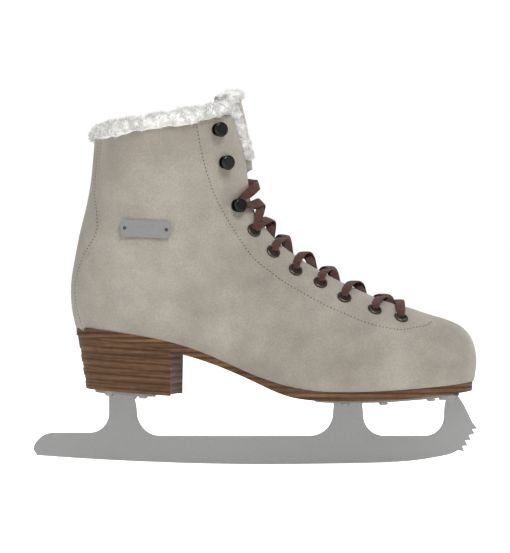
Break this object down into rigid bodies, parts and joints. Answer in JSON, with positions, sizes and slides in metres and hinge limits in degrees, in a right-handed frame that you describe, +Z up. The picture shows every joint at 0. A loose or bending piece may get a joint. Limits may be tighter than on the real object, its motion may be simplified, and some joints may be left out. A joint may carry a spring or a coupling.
{
  "type": "figure skate",
  "caption": "Right-foot figure skate: laced suede boot with fleece collar and hinged-open tongue, stacked sole and heel, and a screwed-on steel blade with toe picks.",
  "frame": {"origin": "the point of the blade's rocker that touches the ice, on the blade's centre plane", "axes": "+X towards the toe, +Y towards the inner (medial) side of the right foot, +Z up"},
  "size_m": [0.2904, 0.0894, 0.2408],
  "materials": {
    "suede": "matte suede nap",
    "fleece": "long pile",
    "tongue_suede": "smooth suede over foam",
    "sole_leather": "waxed edge",
    "stacked_lifts": "ridged and waxed",
    "foam": "matte foam",
    "blade_steel": "satin ground",
    "plate_steel": "satin",
    "screw_steel": "satin",
    "gunmetal": "black nickel, semi-gloss",
    "lace": "flat woven",
    "badge_metal": "matte silver"
  },
  "bodies": {
    "boot": {"blade": "blade_steel", "sole_plate": "plate_steel", "heel_plate": "plate_steel", "sole_plate_screws": "screw_steel", "heel_plate_screws": "screw_steel", "outsole": "sole_leather", "heel_lifts": "stacked_lifts", "footbed": "foam", "vamp": "suede", "quarter_lateral": "suede", "quarter_medial": "suede", "back_strip": "suede", "lining_lateral": "fleece", "lining_medial": "fleece", "fur_collar": "fleece", "tongue_lower": "tongue_suede", "eyelets_lateral": "gunmetal", "eyelets_medial": "gunmetal", "hooks_lateral": "gunmetal", "hooks_medial": "gunmetal", "laces": "lace", "badge_plate": "badge_metal", "badge_rivets": "badge_metal"},
    "tongue_top": {"tongue_upper": "tongue_suede", "tongue_fleece": "fleece"}
  },
  "joints": [
    {"name": "tongue_flex", "type": "hinge", "parent": "boot", "child": "tongue_top", "pos_m": [-0.01322, 0, 0.19538], "axis": [0, 1, 0], "range_deg": [0, 40]}
  ]
}
